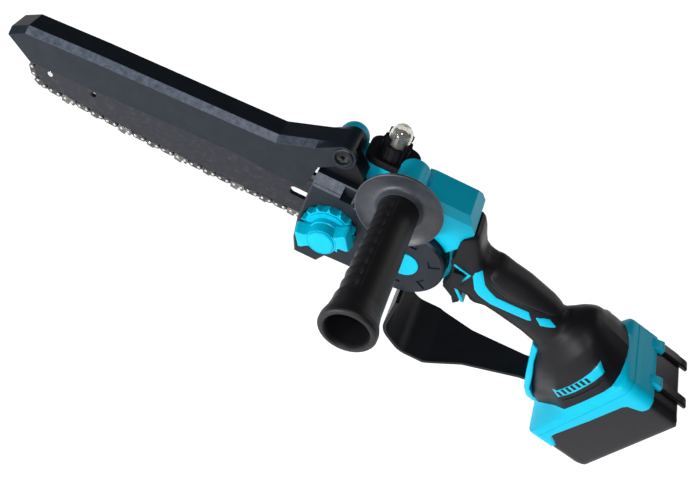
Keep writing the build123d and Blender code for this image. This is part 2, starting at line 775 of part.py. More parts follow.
neck_points = [
    (84, -31), (88, 50), (99.4, 50), (105, 38.5), (110, 29.3), (114.6, 22), (119, 20.5),
    (118, -22), (98, -24.5), (84, -31),
]
front_rim = [
    (-64, 8), (-45, -21), (-33, -38), (-19, -52), (-9.2, -57), (-9.2, -51.5), (-20, -46),
    (-31, -33), (-42, -16), (-58, 8), (-64, 8),
]
with BuildPart() as handle:
    with BuildSketch(side(17)):
        flat_outline(neck_points)
    extrude(amount=34)
    fillet(handle.edges().filter_by(Axis.X).group_by(Axis.Z)[-1], 6)
    add(tube(grip_sections, 0))
    add(tube(foot_sections, 0))
    with BuildSketch(side(14)):
        flat_outline([(96, -16), (102, 40), (112, 26), (124, 22), (122, -16), (96, -16)])
    extrude(amount=28, mode=Mode.SUBTRACT)
    add(tube(grip_sections, shell_wall), mode=Mode.SUBTRACT)
    add(tube(foot_sections, shell_wall), mode=Mode.SUBTRACT)
    with BuildSketch(across(-12)):
        with Locations((2, 0)):
            RectangleRounded(98, 62, 12)
    extrude(amount=10, mode=Mode.SUBTRACT)
    with BuildSketch(tilted(60)):
        flat_outline(front_rim)
        with BuildLine():
            Polyline((-70, 0), (-64, 8), (-45, -21), (-33, -38), (-19, -52), (-9, -60), (-70, -60),
                     (-70, 0))
        make_face()
    extrude(amount=120, mode=Mode.SUBTRACT)
    with BuildSketch(side(30)):
        with Locations((drive_x, 0)):
            Circle(housing_radius + 0.2)
        with BuildLine():
            Polyline((40, 20), (40, 70), (90, 62.2), (99.2, 52.1), (100.2, 40), (88.2, 22), (40, 20))
        make_face()
    extrude(amount=60, mode=Mode.SUBTRACT)
    # opening for the trigger below and the lock button across
    with BuildSketch(side(6.5)):
        flat_outline([(100, -40), (98.5, -5), (129.5, -10), (134, -40), (100, -40)])
    extrude(amount=13, mode=Mode.SUBTRACT)
    with BuildSketch(side(30)):
        with Locations(Location((105.7, 6), 10)):
            Rectangle(9, 17)
    extrude(amount=60, mode=Mode.SUBTRACT)

inlay_long = [
    (115, 14), (118.5, 23), (128, 9.5), (140, 3), (166, 4), (173, -2), (139, -5), (122, 1), (115, 14)
]
inlay_short = [(174, 4), (183, 6.5), (190, 2.5), (179, -1.5), (174, 4)]
pad_outline = [
    (127, 17), (133, 11), (143, 6.8), (166, 8), (184, 10.5), (196, 16), (200, 40), (120, 60),
    (124, 24), (127, 17),
]
inlay_depth = 1.2
grip_body = tube(grip_sections, 0)
grip_core = tube(grip_sections, inlay_depth)
foot_body = tube(foot_sections, 0)
foot_core = tube(foot_sections, inlay_depth)

with BuildPart() as grip_inlays:
    with BuildSketch(side(-5)):
        flat_outline(inlay_long)
        flat_outline(inlay_short)
    extrude(amount=30)
    add(grip_body, mode=Mode.INTERSECT)
    add(grip_core, mode=Mode.SUBTRACT)
    mirror(about=Plane.XZ)
pieces["grip_inlays"] = grip_inlays

with BuildPart() as grip_pad:
    with BuildSketch(side(30)):
        flat_outline(pad_outline)
    extrude(amount=60)
    add(grip_body, mode=Mode.INTERSECT)
    add(grip_core, mode=Mode.SUBTRACT)
pieces["grip_pad"] = grip_pad

with BuildPart() as vent_strips:
    with BuildSketch(tilted(50)):
        with BuildLine():
            Polyline((-33, -8), (-28.5, -13))
            ThreePointArc((-28.5, -13), (-16, 12), (-18, 38))
            Polyline((-18, 38), (-22, 36))
            ThreePointArc((-22, 36), (-21.5, 14), (-33, -8))
        make_face()
        with Locations(*[(-28 + 1.5 * i, -6 + 5 * i) for i in range(5)]):
            Rectangle(4, 1.6, rotation=-15, mode=Mode.SUBTRACT)
    extrude(amount=100)
    add(foot_body, mode=Mode.INTERSECT)
    add(foot_core, mode=Mode.SUBTRACT)
pieces["vent_strips"] = vent_strips

screw_places = [(136, -10), (158, -9), (180, -15)]
with BuildPart() as shell_screws:
    with BuildSketch(side(11)):
        with Locations(*screw_places):
            Circle(2.6)
    extrude(amount=2.4)
    with BuildSketch(side(8.6)):
        with Locations(*screw_places):
            Circle(1.5)
    extrude(amount=8.4)
pieces["shell_screws"] = shell_screws
for skin in (grip_inlays, grip_pad, vent_strips):
    with BuildPart() as cut_handle:
        add(handle.part)
        add(skin.part, mode=Mode.SUBTRACT)
    handle = cut_handle

for name, plane_keep in (("handle_left", Keep.TOP), ("handle_right", Keep.BOTTOM)):
    with BuildPart() as half:
        add(handle.part)
        split(bisect_by=Plane.XZ, keep=plane_keep)
        for x, z in screw_places:
            if plane_keep == Keep.BOTTOM:
                with BuildSketch(side(30)):
                    with Locations((x, z)):
                        Circle(2.7)
                extrude(amount=27.6, mode=Mode.SUBTRACT)
    pieces[name] = half

# ---------------------------------------------------------------- lower hand guard
with BuildPart() as hand_guard:
    with BuildSketch(side(31)):
        with BuildLine() as strap_path:
            FilletPolyline((74, -33), (74.5, -72), (96, -88), (122, -88), (206, -72.5), radius=19)
        trace(strap_path.edges(), line_width=3)
    extrude(amount=62)
    with BuildSketch(level(-120)):
        with BuildLine():
            Polyline((60, 60), (60, 31), (118, 31), (150, 19), (198, 12), (230, 12), (230, 60),
                     (60, 60))
        make_face()
        mirror(about=Plane.XZ)
    extrude(amount=100, mode=Mode.SUBTRACT)
    with BuildSketch(side(40)):
        with Locations((drive_x, 0)):
            Circle(housing_radius + 0.05)
    extrude(amount=80, mode=Mode.SUBTRACT)
pieces["hand_guard"] = hand_guard

with BuildPart() as foot_skirt:
    with BuildSketch(across(-9)):
        RectangleRounded(battery_length, battery_width, 9)
        with Locations((2, 0)):
            RectangleRounded(98.4, 62.4, 12, mode=Mode.SUBTRACT)
    extrude(amount=8.8)
    with BuildSketch(tilted(24)):
        flat_outline(front_rim)
    extrude(amount=48)
    add(hand_guard.part, mode=Mode.SUBTRACT)
pieces["foot_skirt"] = foot_skirt

# ---------------------------------------------------------------- trigger and lock button
with BuildPart() as trigger_stripe:
    with BuildSketch(side(6.2)):
        flat_outline([(105.5, -11.5), (108, -10.9), (123.2, -27), (120.8, -28.2), (105.5, -11.5)])
    extrude(amount=12.4)
pieces["trigger_stripe"] = trigger_stripe

with BuildPart() as trigger:
    with BuildSketch(side(6)):
        with BuildLine():
            Polyline((100.8, -14), (101.4, -20), (112, -27), (116, -33.5))
            Polyline((116, -33.5), (119.5, -29), (117, -12), (103, -9.5), (100.8, -14))
        make_face()
    extrude(amount=12)
    add(trigger_stripe.part, mode=Mode.SUBTRACT)
pieces["trigger"] = trigger

with BuildPart() as lock_button:
    with BuildSketch(side(20.5)):
        with Locations(Location((105.7, 6), 10)):
            Rectangle(8.2, 16.2)
    extrude(amount=41)
pieces["lock_button"] = lock_button

# ---------------------------------------------------------------- electrics in the handle
with BuildPart() as switch_module:
    with BuildSketch(side(9)):
        flat_outline([(114, 8), (114, 17), (143, 10), (141, 0), (126, 0), (114, 8)])
    extrude(amount=18)
pieces["switch_module"] = switch_module

with BuildPart() as controller_board:
    with BuildSketch(across(-26)):
        with Locations((10, 0)):
            Rectangle(46, 34)
    extrude(amount=5)
pieces["controller_board"] = controller_board

with BuildPart() as terminal_block:
    with BuildSketch(across(-11)):
        with Locations((10, 0)):
            RectangleRounded(52, 36, 3)
    extrude(amount=10.8)
pieces["terminal_block"] = terminal_block

# ---------------------------------------------------------------- battery
with BuildPart() as battery_top:
    with BuildSketch(across(0.1)):
        RectangleRounded(battery_length, battery_width, 9)
    extrude(amount=9.8)
    with BuildSketch(across(2.5)):
        RectangleRounded(battery_length - 5, battery_width - 5, 7)
    extrude(amount=12, mode=Mode.SUBTRACT)
pieces["battery_top"] = battery_top

battery_side = [
    (10, -57), (42, -57), (battery_depth, -47), (battery_depth, 50), (46, 57), (10, 57), (10, -57)
]
with BuildPart() as battery_case:
    with BuildSketch(tilted(battery_width / 2 - 0.2)):
        flat_outline(battery_side)
    extrude(amount=battery_width - 0.4)
    fillet(battery_case.edges().filter_by(lambda e: abs(e.center().Y) > 37), 3)
    with BuildSketch(across(10)):
        RectangleRounded(battery_length - 5, battery_width - 5, 7)
    extrude(amount=battery_depth - 13, mode=Mode.SUBTRACT)
    with BuildSketch(tilted(28), tilted(-12)):
        with Locations((31, 56)):
            SlotOverall(39, 8)
    extrude(amount=8)
    with BuildSketch(across(3)):
        RectangleRounded(battery_length - 6, battery_width - 6, 7)
    extrude(amount=battery_depth - 6, mode=Mode.SUBTRACT)
    with BuildSketch(tilted(14.4)):
        with Locations((22, -55)):
            Rectangle(16.8, 8)
    extrude(amount=28.8, mode=Mode.SUBTRACT)
pieces["battery_case"] = battery_case

cell_radius = 9.0
with BuildPart() as battery_cells:
    with BuildSketch(tilted(33)):
        with GridLocations(2 * cell_radius + 0.6, 2 * cell_radius + 0.6, 2, 5):
            with Locations((27, 0)):
                Circle(cell_radius)
    extrude(amount=66)
pieces["battery_cells"] = battery_cells

with BuildPart() as battery_release:
    with BuildSketch(tilted(14)):
        flat_outline([(14, -55), (30, -55), (30, -60), (26, -61), (14, -61), (14, -55)])
    extrude(amount=28)
pieces["battery_release"] = battery_release

# ---------------------------------------------------------------- row frame and export
solids = {name: piece.part if hasattr(piece, "part") else piece for name, piece in pieces.items()}
box = Compound(list(solids.values())).bounding_box()
to_row = Location((-(box.min.X + box.max.X) / 2, -(box.min.Y + box.max.Y) / 2, -box.min.Z))
for name, piece in solids.items():
    placed = piece.moved(to_row)
    placed.label = name
    export_step(placed, f"parts/{name}.step")
print("row shift", [round(v, 4) for v in to_row.position])
print("size", [round(v, 2) for v in box.size], "pieces", len(solids), "rivets", rivet_count)
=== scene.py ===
import json
from math import cos, hypot, pi, radians, sin, sqrt

import bmesh
import bpy
from mathutils import Matrix, Vector


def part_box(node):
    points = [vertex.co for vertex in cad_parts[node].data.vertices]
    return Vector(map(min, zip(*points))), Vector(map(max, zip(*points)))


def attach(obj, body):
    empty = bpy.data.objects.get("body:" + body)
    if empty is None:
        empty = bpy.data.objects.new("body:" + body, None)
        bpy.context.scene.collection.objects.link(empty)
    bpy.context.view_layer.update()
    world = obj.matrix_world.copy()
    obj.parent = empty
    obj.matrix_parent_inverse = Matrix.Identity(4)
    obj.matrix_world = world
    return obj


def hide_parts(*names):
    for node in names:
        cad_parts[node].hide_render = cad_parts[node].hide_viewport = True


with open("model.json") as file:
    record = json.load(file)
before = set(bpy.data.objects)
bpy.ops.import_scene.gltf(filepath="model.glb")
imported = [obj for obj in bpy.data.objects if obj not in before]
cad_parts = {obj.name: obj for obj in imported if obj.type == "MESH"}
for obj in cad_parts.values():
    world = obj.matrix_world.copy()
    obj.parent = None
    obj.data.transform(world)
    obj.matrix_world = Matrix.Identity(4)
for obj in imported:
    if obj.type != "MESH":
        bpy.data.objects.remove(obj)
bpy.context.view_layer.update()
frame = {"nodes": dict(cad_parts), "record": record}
mm = 0.001


# an expression on these values adds its own Math nodes
class Field:
    def __init__(self, kit, socket):
        self.kit, self.socket = kit, socket

    def combine(self, operation, left, right):
        return self.kit.node("ShaderNodeMath", {"operation": operation}, {0: left, 1: right})

    def __add__(self, other):
        return self.combine("ADD", self, other)

    def __radd__(self, other):
        return self.combine("ADD", other, self)

    def __mul__(self, other):
        return self.combine("MULTIPLY", self, other)

    def __rmul__(self, other):
        return self.combine("MULTIPLY", other, self)


class MaterialKit:
    def __init__(self, name, surface):
        self.material = bpy.data.materials.new(name)
        self.material.use_nodes = True
        self.tree = self.material.node_tree
        self.tree.nodes.clear()
        self.shader = self.tree.nodes.new("ShaderNodeBsdfPrincipled")
        self.output = self.tree.nodes.new("ShaderNodeOutputMaterial")
        self.tree.links.new(self.shader.outputs[0], self.output.inputs["Surface"])
        self.place = self.node("ShaderNodeTexCoord", {}, {}, "Object")
        for socketName, value in surface.items():
            self.shader.inputs[socketName].default_value = value

    def node(self, kind, settings, inputs, output=0):
        made = self.tree.nodes.new(kind)
        for key, value in settings.items():
            if key == "stops":
                ramp = made.color_ramp
                for index, (position, shade) in enumerate(value):
                    stop = ramp.elements[index] if index < 2 else ramp.elements.new(position)
                    stop.position = position
                    stop.color = (shade, shade, shade, 1) if isinstance(shade, (int, float)) else shade
            else:
                setattr(made, key, value)
        for key, value in inputs.items():
            if isinstance(value, Field):
                self.tree.links.new(value.socket, made.inputs[key])
            else:
                made.inputs[key].default_value = value
        return Field(self, made.outputs[output])

    def feed(self, socketName, field):
        self.tree.links.new(field.socket, self.shader.inputs[socketName])

    def noise(self, scale, detail=3.0, roughness=0.55, place=None):
        return self.node("ShaderNodeTexNoise", {}, {
            "Vector": place or self.place, "Scale": scale, "Detail": detail, "Roughness": roughness})

    def cells(self, scale):
        return self.node("ShaderNodeTexVoronoi", {}, {"Vector": self.place, "Scale": scale}, "Distance")

    def ramp(self, field, *stops):
        return self.node("ShaderNodeValToRGB", {"stops": stops}, {"Fac": field})

    def stretch(self, scale):
        return self.node("ShaderNodeMapping", {}, {"Vector": self.place, "Scale": scale}, "Vector")

    def mix(self, factor, first, second):
        return self.node("ShaderNodeMix", {"data_type": "RGBA"}, {0: factor, 6: first, 7: second}, 2)

    def bump(self, height, strength, distance):
        edge = self.node("ShaderNodeBevel", {"samples": 4}, {"Radius": 0.35 * mm})
        return self.node("ShaderNodeBump", {}, {
            "Height": height, "Strength": strength, "Distance": distance, "Normal": edge})


def colour(red, green, blue):
    return (red, green, blue, 1)


# dust is how much of the worn colour the specks bring in, gloss the specular level; the guard also carries a
# painted highlight colour on its 45 degree bevels
mouldings = {
    "tealMoulding": {"base": (0.0, 0.50, 0.72), "worn": (0.0, 0.56, 0.79), "rough": 0.42,
                     "grain": 2600, "depth": 0.06, "coat": 0.1, "dust": 0.0, "gloss": 0.1},
    "blackMoulding": {"base": (0.007, 0.007, 0.0095), "worn": (0.014, 0.014, 0.017), "rough": 0.46,
                      "grain": 1900, "depth": 0.12, "coat": 0.0, "dust": 0.25, "gloss": 0.18},
    "guardMoulding": {"base": (0.008, 0.0125, 0.020), "worn": (0.020, 0.026, 0.036), "rough": 0.38,
                      "grain": 1100, "depth": 0.30, "coat": 0.0, "dust": 0.5, "gloss": 0.22,
                      # painted highlight colour for the guard's 45 degree bevels
                      "bevelHighlight": (0.135, 0.16, 0.21)},
    "shieldMoulding": {"base": (0.024, 0.028, 0.037), "worn": (0.085, 0.096, 0.12), "rough": 0.46,
                       "grain": 900, "depth": 0.34, "coat": 0.0, "dust": 0.6, "gloss": 0.6},
    "gripRubber": {"base": (0.006, 0.006, 0.008), "worn": (0.012, 0.012, 0.015), "rough": 0.5,
                   "grain": 2400, "depth": 0.20, "coat": 0.0, "dust": 0.35, "gloss": 0.35},
    "caseMoulding": {"base": (0.010, 0.0095, 0.012), "worn": (0.017, 0.016, 0.019), "rough": 0.34,
                     "grain": 2600, "depth": 0.05, "coat": 0.25, "dust": 0.15, "gloss": 0.1},
}


def moulding(name):
    look = mouldings[name]
    kit = MaterialKit(name, {"Coat Weight": look["coat"], "Coat Roughness": 0.2,
                             "Specular IOR Level": look["gloss"]})
    cloud = kit.noise(28.0, 4.0)
    grain = kit.noise(look["grain"], 2.0)
    pits = kit.cells(look["grain"] * 0.6)
    specks = kit.ramp(kit.noise(420.0, 5.0, 0.7), (0.66, 0.0), (0.76, 1.0))
    wear = kit.ramp(kit.noise(75.0, 6.0, 0.65), (0.42, 0.0), (0.68, 1.0))
    dusty = specks * look["dust"] + wear * 0.35
    shade = kit.mix(dusty, colour(*look["base"]), colour(*look["worn"]))
    if "bevelHighlight" in look:  # painted highlight: the 45 degree edges are painted lighter in place of the lamp's glint on them
        facing = kit.node("ShaderNodeTexCoord", {}, {}, "Normal")
        across, upward = (kit.node("ShaderNodeSeparateXYZ", {}, {"Vector": facing}, axis) for axis in "YZ")
        highlightFacets = kit.ramp(across * across * upward * upward * 4.0, (0.72, 0.0), (0.96, 1.0))
        mottle = kit.ramp(kit.noise(240.0, 5.0, 0.75), (0.34, 0.35), (0.66, 1.0))
        shade = kit.mix(highlightFacets * mottle, shade, colour(*look["bevelHighlight"]))
    kit.feed("Base Color", kit.mix(cloud * 0.18, shade, colour(*[0.8 * v for v in look["base"]])))
    kit.feed("Roughness", cloud * 0.10 + grain * 0.06 + specks * 0.08 + (look["rough"] - 0.09))
    kit.feed("Normal", kit.bump(grain * 0.6 + pits * 0.5, look["depth"], 0.25 * mm))
    return kit.material


metals = {
    "barCoat": {"base": (0.010, 0.012, 0.020), "bare": (0.20, 0.20, 0.21), "metal": 0.35, "rough": 0.36,
                "scratch": 0.10},
    "chainSteel": {"base": (0.15, 0.145, 0.14), "bare": (0.52, 0.51, 0.50), "metal": 1.0, "rough": 0.27,
                   "scratch": 0.45},
    "strapSteel": {"base": (0.075, 0.072, 0.068), "bare": (0.40, 0.39, 0.38), "metal": 1.0, "rough": 0.34,
                   "scratch": 0.35},
    "brightSteel": {"base": (0.60, 0.60, 0.61), "bare": (0.85, 0.85, 0.86), "metal": 1.0, "rough": 0.22,
                    "scratch": 0.30},
    "blackSteel": {"base": (0.016, 0.016, 0.018), "bare": (0.30, 0.30, 0.30), "metal": 0.8, "rough": 0.32,
                   "scratch": 0.25},
    "windingCopper": {"base": (0.40, 0.16, 0.07), "bare": (0.62, 0.28, 0.14), "metal": 0.9, "rough": 0.38,
                      "scratch": 0.30},
}


def metal(name):
    look = metals[name]
    kit = MaterialKit(name, {"Metallic": look["metal"]})
    streak = kit.noise(60.0, 4.0, 0.6, kit.stretch((4.0, 40.0, 40.0)))
    blotch = kit.noise(190.0, 5.0, 0.7)
    bare = kit.ramp(streak * blotch * 2.0, (0.52, 0.0), (0.72, 1.0)) * look["scratch"]
    kit.feed("Base Color", kit.mix(bare, colour(*look["base"]), colour(*look["bare"])))
    kit.feed("Roughness", blotch * 0.16 + streak * 0.10 + (look["rough"] - 0.13))
    kit.feed("Normal", kit.bump(streak + blotch * 0.4, 0.10, 0.1 * mm))
    return kit.material


def clearBulb():
    kit = MaterialKit("clearBulb", {
        "Transmission Weight": 0.9, "IOR": 1.42, "Coat Weight": 0.6, "Coat Roughness": 0.05})
    haze = kit.noise(260.0, 4.0)
    cloud = kit.noise(90.0, 3.0)
    kit.feed("Base Color", kit.mix(cloud, colour(0.92, 0.91, 0.84), colour(0.98, 0.97, 0.92)))
    kit.feed("Roughness", haze * 0.10 + 0.03)
    kit.feed("Normal", kit.bump(haze, 0.05, 0.1 * mm))
    return kit.material


def boardFinish():
    kit = MaterialKit("boardFinish", {})
    tracks = kit.ramp(kit.cells(340.0), (0.25, 0.0), (0.32, 1.0))
    kit.feed("Base Color", kit.mix(tracks, colour(0.01, 0.11, 0.04), colour(0.03, 0.2, 0.07)))
    kit.feed("Roughness", tracks * 0.15 + 0.35)
    kit.feed("Normal", kit.bump(tracks, 0.2, 0.1 * mm))
    return kit.material


finishes = {name: moulding(name) for name in mouldings}
finishes.update({name: metal(name) for name in metals})
finishes["clearBulb"] = clearBulb()
finishes["boardFinish"] = boardFinish()
print("finishes", len(finishes))

finishBySlot = {
    "teal_plastic": "tealMoulding", "black_plastic": "blackMoulding", "guard_plastic": "guardMoulding",
    "shield_plastic": "shieldMoulding", "grip_rubber": "gripRubber", "bar_black": "barCoat",
    "chain_steel": "chainSteel", "bright_steel": "brightSteel", "black_steel": "blackSteel",
    "magnet_steel": "brightSteel", "motor_laminations": "windingCopper", "clear_plastic": "clearBulb",
    "clear_hose": "gripRubber", "circuit_board": "boardFinish", "cell_wrap": "caseMoulding",
}
finishByNode = {
    "battery_case": "caseMoulding", "sprocket_cover": "guardMoulding", "tie_straps": "strapSteel",
    "drive_links": "strapSteel", "chain_rivets": "brightSteel",
}
slotOf = {row["node"]: row["material_slot"] for row in frame["record"]["subparts"]}


def finishFor(node):
    return finishes[finishByNode.get(node, finishBySlot[slotOf[node]])]


for node, obj in frame["nodes"].items():
    obj.data.materials.clear()
    obj.data.materials.append(finishFor(node))


# degrees, and millimetres from the frame's origin
view = {"azimuth": -0.4, "elevation": 47.1, "roll": 25.9, "distance": 649.7, "lens": 40.78,
        "aim": (5.84, 50.9, 84.84), "nearest": 20.0}


def addCamera():
    around, above, tip = (radians(view[key]) for key in ("azimuth", "elevation", "roll"))
    backward = Vector((sin(around) * cos(above), -cos(around) * cos(above), sin(above)))
    level = (-backward).cross(Vector((0, 0, 1))).normalized()
    upright = level.cross(-backward)
    right = cos(tip) * level + sin(tip) * upright
    up = -sin(tip) * level + cos(tip) * upright
    camera = bpy.data.objects.new("camera", bpy.data.cameras.new("camera"))
    camera.data.lens = view["lens"]
    camera.data.clip_start = view["nearest"] * mm
    where = Vector(view["aim"]) * mm + backward * view["distance"] * mm
    turn = Matrix((right, up, backward)).transposed().to_4x4()
    camera.matrix_world = Matrix.Translation(where) @ turn
    bpy.context.scene.collection.objects.link(camera)
    bpy.context.scene.camera = camera


# the drop leaves room for the pack to slide out
floorLook = {"size": 30.0, "drop": 0.085, "glow": 0.85}


def addFloor():
    kit = MaterialKit("paleFloor", {"Emission Strength": floorLook["glow"], "Emission Color": (1, 1, 1, 1)})
    speckle = kit.noise(40.0, 3.0)
    kit.feed("Base Color", kit.mix(speckle * 0.3, colour(0.86, 0.86, 0.86), colour(0.82, 0.82, 0.82)))
    kit.feed("Roughness", speckle * 0.1 + 0.75)
    half = floorLook["size"] / 2
    corners = [(x, y, 0) for x, y in ((-half, -half), (half, -half), (half, half), (-half, half))]
    mesh = bpy.data.meshes.new("floor")
    mesh.from_pydata(corners, [], [(0, 1, 2, 3)])
    floor = bpy.data.objects.new("floor", mesh)
    floor.location.z = -floorLook["drop"]
    floor.data.materials.append(kit.material)
    bpy.context.scene.collection.objects.link(floor)


# metres and watts; every lamp looks at the middle of the saw
lights = {
    "keySide": {"at": (-0.85, -1.42, 0.2), "size": 0.34, "power": 20.0},
    "nearView": {"at": (-0.1, -1.0, 1.2), "size": 0.4, "power": 7.0},
    "farRim": {"at": (0.9, 1.1, 0.8), "size": 0.6, "power": 2.5},
}


roomGlow = 0.07
lampAim = Vector((0, 0, 0.1))


def addLights():
    for name, lamp in lights.items():
        data = bpy.data.lights.new(name, "AREA")
        data.size = lamp["size"]
        data.energy = lamp["power"]
        light = bpy.data.objects.new(name, data)
        light.location = lamp["at"]
        light.rotation_euler = (Vector(lamp["at"]) - lampAim).to_track_quat("Z", "Y").to_euler()
        bpy.context.scene.collection.objects.link(light)
    world = bpy.data.worlds.new("softRoom")
    world.use_nodes = True
    world.node_tree.nodes["Background"].inputs["Color"].default_value = (1, 1, 1, 1)
    world.node_tree.nodes["Background"].inputs["Strength"].default_value = roomGlow
    bpy.context.scene.world = world
    bpy.context.scene.view_settings.view_transform = "Standard"


addCamera()
addFloor()
addLights()
print("camera, floor and lights")

# millimetres about the bar stud; the grip has a set of its own that leans
places = {"noseToStud": 248.7, "gripX": 247.8, "gripZ": -55.2, "gripLean": 13.8, "drumX": 64.3}
rivetLow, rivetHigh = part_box("nose_rivets")
studPoint = (rivetLow + rivetHigh) / 2 + Vector((places["noseToStud"], 0, 0)) * mm
lean = radians(places["gripLean"])


def at(x, y, z):
    return studPoint + Vector((x, y, z)) * mm


# back runs along the grip to the pack, rise goes up from its axis
def gripAt(back, across, rise):
    return at(places["gripX"] + back * cos(lean) + rise * sin(lean), across,
              places["gripZ"] - back * sin(lean) + rise * cos(lean))


# 0 below low, 1 above high, and a smooth step in between
def between(value, low, high):
    share = min(1, max(0, (value - low) / (high - low)))
    return share * share * (3 - 2 * share)


# reads an amount off a table of (place, amount) rows
def follow(table, value):
    for first, second in zip(table, table[1:]):
        if value <= second[0]:
            break
    share = min(1, max(0, (value - first[0]) / (second[0] - first[0])))
    return first[1] + (second[1] - first[1]) * share


softEdge = {"segments": 2, "angle": 28}


# names a piece, its body and finish; the result takes the mesh and the angle kept sharp
def addPiece(name, body, finish, replaced=()):
    def wrap(mesh, sharp, bevel=0.0):
        piece = bpy.data.objects.new(name, mesh)
        bpy.context.scene.collection.objects.link(piece)
        mesh.shade_smooth()
        mesh.set_sharp_from_angle(angle=radians(sharp))
        mesh.materials.append(finishes[finish])
        if bevel:
            soft = piece.modifiers.new("softEdges", "BEVEL")
            soft.width = bevel * mm
            soft.segments = softEdge["segments"]
            soft.limit_method = "ANGLE"
            soft.angle_limit = radians(softEdge["angle"])
            soft.harden_normals = True
        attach(piece, body)
        if replaced:
            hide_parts(*replaced)
    return wrap


def meshFrom(points, faces):
    mesh = bpy.data.meshes.new("skin")
    mesh.from_pydata([tuple(p) for p in points], [], faces)
    shape = bmesh.new()
    shape.from_mesh(mesh)
    bmesh.ops.remove_doubles(shape, verts=shape.verts, dist=0.005 * mm)
    bmesh.ops.recalc_face_normals(shape, faces=shape.faces)
    shape.to_mesh(mesh)
    shape.free()
    return mesh


# quads between rings of points, with both ends closed when capped
def ringSkin(rows, capped=True):
    width = len(rows[0])
    faces = []
    for r in range(len(rows) - 1):
        for i in range(width):
            j = (i + 1) % width
            faces.append((r * width + i, r * width + j, (r + 1) * width + j, (r + 1) * width + i))
    if capped:
        faces.append(tuple(range(width)))
        faces.append(tuple(range((len(rows) - 1) * width, len(rows) * width)))
    return meshFrom([p for row in rows for p in row], faces)


# a sheet of rows with a second skin moved by inward, joined along its border
def closedSheet(rows, inward):
    count, width = len(rows), len(rows[0])
    points = [p for row in rows for p in row]
    points += [p + inward for p in points]
    total = count * width
    faces = []
    for r in range(count - 1):
        for i in range(width - 1):
            a, b = r * width + i, (r + 1) * width + i
            faces += [(a, a + 1, b + 1, b), (a + total, b + total, b + 1 + total, a + 1 + total)]
    border = list(range(width)) + [r * width + width - 1 for r in range(1, count)]
    border += [(count - 1) * width + i for i in range(width - 2, -1, -1)]
    border += [r * width for r in range(count - 2, 0, -1)]
    for first, second in zip(border, border[1:] + border[:1]):
        faces.append((first, second, second + total, first + total))
    return meshFrom(points, faces)


# rows are (back, amount), save for the wedge, whose rows go by share of the height
handleLook = {
    "low": [(-173, 56), (-169, 44), (-166, 20), (-164, 10), (-158, 7.5), (-150, 9.5), (-134, 9.5),
            (-129, 6.5), (-125, 6), (-117, 9.5), (-105, 10), (-80, 10), (-66, 9), (-58, 5), (-42, -16),
            (-31, -33), (-20, -46), (-9.2, -51.5)],
    "high": [(-173, 58), (-168.5, 68.5), (-165, 68), (-160, 63.5), (-154, 56), (-149, 50.8), (-144, 49.4),
             (-140, 49.8), (-128, 52), (-105, 53), (-80, 50.8), (-67, 47.2), (-62, 48.4), (-57, 54.6),
             (-52, 59.6), (-47, 61.8), (-42, 62.4), (-35, 61.2), (-25, 60.2), (-9.2, 57.6)],
    "half": [(-180, 17), (-128, 17), (-105, 16.5), (-80, 16), (-64, 17), (-57, 19.5), (-50, 25), (-44, 29),
             (-38, 31.2), (-33, 32), (-20, 35), (-9.2, 36.3)],
    "square": [(-180, 7), (-160, 6), (-140, 3.2), (-120, 2.4), (-62, 2.3), (-9, 2.6)],
    "wedge": [(-1, 0), (-0.96, 0.15), (-0.88, 0.27), (-0.48, 0.63), (-0.2, 0.93), (0.15, 0.98), (0.6, 1),
              (0.76, 0.95), (0.9, 0.7), (0.97, 0.38), (1, 0)],
    "wedgeFrom": -50, "wedgeTo": -22, "start": -172.6, "end": -9.2, "rows": 112, "around": 48,
    "seam": 0.35, "halfGap": 0.15, "drumReach": 36.2,
}


def handleHalf(back, share):
    square = follow(handleLook["square"], back)
    rounded = max(0, 1 - abs(share) ** square) ** (1 / square)
    pointed = follow(handleLook["wedge"], share)
    mixed = between(back, handleLook["wedgeFrom"], handleLook["wedgeTo"])
    return follow(handleLook["half"], back) * (rounded + (pointed - rounded) * mixed)


# a point of the handle's side at a place and rise, moved out by lift
def handleSkin(back, rise, side, lift=0.0):
    low, high = follow(handleLook["low"], back), follow(handleLook["high"], back)
    share = min(1, max(-1, (rise - (low + high) / 2) / ((high - low) / 2)))
    step = 0.01
    slope = (handleHalf(back, share + step) - handleHalf(back, share - step)) / (step * (high - low))
    along = handleHalf(back + 0.5, share) - handleHalf(back - 0.5, share)
    length = sqrt(1 + slope * slope + along * along)
    return gripAt(back - along * lift / length, side * (handleHalf(back, share) + lift / length),
                  rise - slope * lift / length)


# pushes a point out to the round of the motor drum
def clearOfDrum(point):
    drum = at(places["drumX"], 0, 0)
    reach = hypot(point.x - drum.x, point.z - drum.z)
    if reach < handleLook["drumReach"] * mm:
        stretch = handleLook["drumReach"] * mm / reach
        point.x = drum.x + (point.x - drum.x) * stretch
        point.z = drum.z + (point.z - drum.z) * stretch
    return point


def handleRow(back, side):
    low, high = follow(handleLook["low"], back), follow(handleLook["high"], back)
    inner = side * handleLook["halfGap"]
    row = [gripAt(back, inner, high - 0.1), gripAt(back, inner, low + 0.1)]
    for k in range(handleLook["around"] + 1):
        share = -cos(pi * k / handleLook["around"])
        edge = handleLook["seam"] * (1 - between(abs(share), 0.9, 1)) + handleLook["halfGap"]
        row.append(gripAt(back, side * max(edge, handleHalf(back, share)),
                          (low + high) / 2 + share * (high - low) / 2))
    return [clearOfDrum(point) for point in row]


def addHandle():
    start, end, count = handleLook["start"], handleLook["end"], handleLook["rows"]
    for name, side, replaced in (("handleLeft", -1, "handle_left"), ("handleRight", 1, "handle_right")):
        rows = [handleRow(start + (end - start) * r / count, side) for r in range(count + 1)]
        addPiece(name, "housing", "blackMoulding", (replaced,))(ringSkin(rows), 40)


